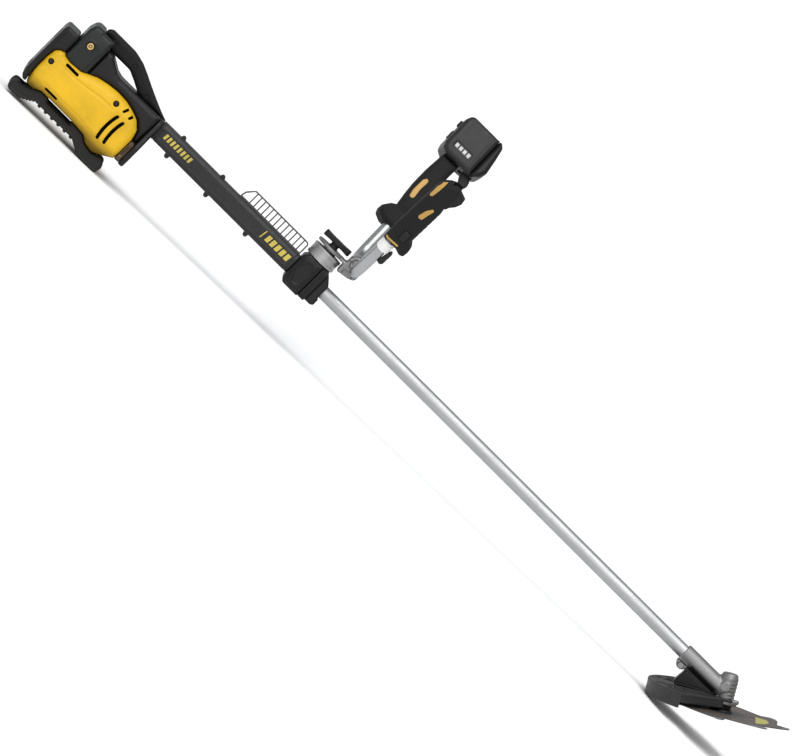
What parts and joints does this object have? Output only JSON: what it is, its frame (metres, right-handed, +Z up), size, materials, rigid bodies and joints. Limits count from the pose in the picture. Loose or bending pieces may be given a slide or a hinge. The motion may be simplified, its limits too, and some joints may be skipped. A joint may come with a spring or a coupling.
{
  "type": "cordless brush cutter",
  "caption": "Long straight-shaft cordless brush cutter: rear battery power head, boom tube with two-handed bar, angled gear head, guard and toothed metal blade.",
  "frame": {"origin": "middle of the bounding box's base, on the floor that the front feet and the guard's lower edge stand on", "axes": "+X forward from the power head to the blade, +Y to the user's left, +Z up; the boom runs 1.5 degrees nose down"},
  "size_m": [1.8031, 0.5778, 0.5189],
  "materials": {
    "yellow_plastic": "satin moulded nylon",
    "black_plastic": "fine textured black nylon",
    "dark_grey_plastic": "fine textured dark grey nylon",
    "black_rubber": "overmoulded soft rubber",
    "gold_trim": "satin gold-tan soft insert",
    "aluminium": "clear anodised tube",
    "cast_aluminium": "bead-blasted die casting",
    "brass": "yellow passivated",
    "steel": "zinc plated steel",
    "black_steel": "black coated steel",
    "cell_wrap": "wrapped cells"
  },
  "bodies": {
    "frame": {"housing_right": "yellow_plastic", "housing_left": "yellow_plastic", "motor_housing": "dark_grey_plastic", "top_frame": "black_plastic", "carry_handle": "black_rubber", "ring_screws": "brass", "end_plate": "cast_aluminium", "front_frame": "black_plastic", "body_screws": "steel", "stand": "black_plastic", "contact_block": "dark_grey_plastic", "controller": "cast_aluminium", "stator": "steel", "bearings": "steel", "boom_tube": "aluminium", "tube_bushings": "black_rubber", "shroud_right": "black_plastic", "shroud_left": "black_plastic", "harness_rungs": "steel", "harness_rails": "steel", "collar_body": "black_plastic", "collar_nose": "black_plastic", "handle_base": "cast_aluminium", "gear_case": "cast_aluminium", "head_bolts": "steel", "guard": "black_plastic", "guard_bracket": "black_plastic"},
    "battery": {"battery_case": "black_plastic", "battery_cells": "cell_wrap"},
    "latch": {"battery_latch": "dark_grey_plastic"},
    "drive": {"rotor": "steel", "motor_shaft": "steel", "fan": "black_plastic", "drive_shaft": "steel", "bevel_pinion": "steel"},
    "spindle": {"bevel_gear": "steel", "output_shaft": "steel", "receiver_cup": "black_steel", "blade": "black_steel", "clamp_washer": "black_steel", "blade_nut": "steel"},
    "swivel": {"swivel_bracket": "cast_aluminium", "bar_cap": "cast_aluminium"},
    "clamp_knob": {"knob": "black_plastic", "knob_stud": "steel"},
    "bar": {"handlebar": "aluminium", "left_grip": "black_rubber", "left_pod": "dark_grey_plastic", "pod_cover": "black_plastic", "right_grip": "black_rubber", "grip_inlays": "gold_trim", "lever_pins": "steel", "right_collar": "aluminium", "cable_clip": "dark_grey_plastic"},
    "lever": {"left_lever": "black_plastic"},
    "throttle": {"trigger": "black_plastic"},
    "power": {"power_button": "dark_grey_plastic"},
    "speed": {"speed_button": "dark_grey_plastic"},
    "cruise": {"cruise_button": "black_plastic"}
  },
  "joints": [
    {"name": "blade_spin", "type": "hinge", "parent": "frame", "child": "spindle", "pos_m": [0.7746, -0.0188, 0.09702], "axis": [-0.4774, 0, 0.8787], "continuous": true},
    {"name": "drive_spin", "type": "hinge", "parent": "frame", "child": "drive", "pos_m": [-0.01194, -0.0188, 0.11744], "axis": [0.9997, 0, -0.026], "continuous": true},
    {"name": "battery_slide", "type": "slide", "parent": "frame", "child": "battery", "axis": [-0.9997, 0, 0.026], "range_m": [0, 0.14]},
    {"name": "latch_press", "type": "slide", "parent": "battery", "child": "latch", "axis": [0.9997, 0, -0.026], "range_m": [0, 0.004], "stiffness_N_per_m": 800},
    {"name": "handle_swivel", "type": "hinge", "parent": "frame", "child": "swivel", "pos_m": [-0.28079, -0.0188, 0.18444], "axis": [0.026, 0, 0.9997], "range_deg": [-90, 90]},
    {"name": "knob_turn", "type": "hinge", "parent": "swivel", "child": "clamp_knob", "pos_m": [-0.28027, -0.0188, 0.20443], "axis": [0.026, 0, 0.9997], "continuous": true},
    {"name": "bar_tilt", "type": "hinge", "parent": "swivel", "child": "bar", "pos_m": [-0.22842, -0.0188, 0.19808], "axis": [0, 1, 0], "range_deg": [-25, 35]},
    {"name": "lever_pull", "type": "hinge", "parent": "bar", "child": "lever", "pos_m": [-0.19171, 0.23151, 0.43663], "axis": [-0.011, 0.9063, -0.4225], "range_deg": [0, 8], "stiffness_Nm_per_rad": 1.2},
    {"name": "trigger_pull", "type": "hinge", "parent": "bar", "child": "throttle", "pos_m": [-0.20832, -0.2689, 0.43661], "axis": [0.011, 0.9063, 0.4225], "range_deg": [0, 12], "stiffness_Nm_per_rad": 1.2},
    {"name": "power_press", "type": "slide", "parent": "bar", "child": "power", "axis": [0.9997, 0, -0.026], "range_m": [0, 0.002], "stiffness_N_per_m": 400},
    {"name": "speed_press", "type": "slide", "parent": "bar", "child": "speed", "axis": [0.9997, 0, -0.026], "range_m": [0, 0.002], "stiffness_N_per_m": 400},
    {"name": "cruise_press", "type": "slide", "parent": "bar", "child": "cruise", "axis": [0.011, 0.9063, 0.4225], "range_m": [0, 0.002], "stiffness_N_per_m": 400}
  ],
  "couplings": [
    {"joint": "drive_spin", "follows": "blade_spin", "ratio": 1.3571}
  ]
}
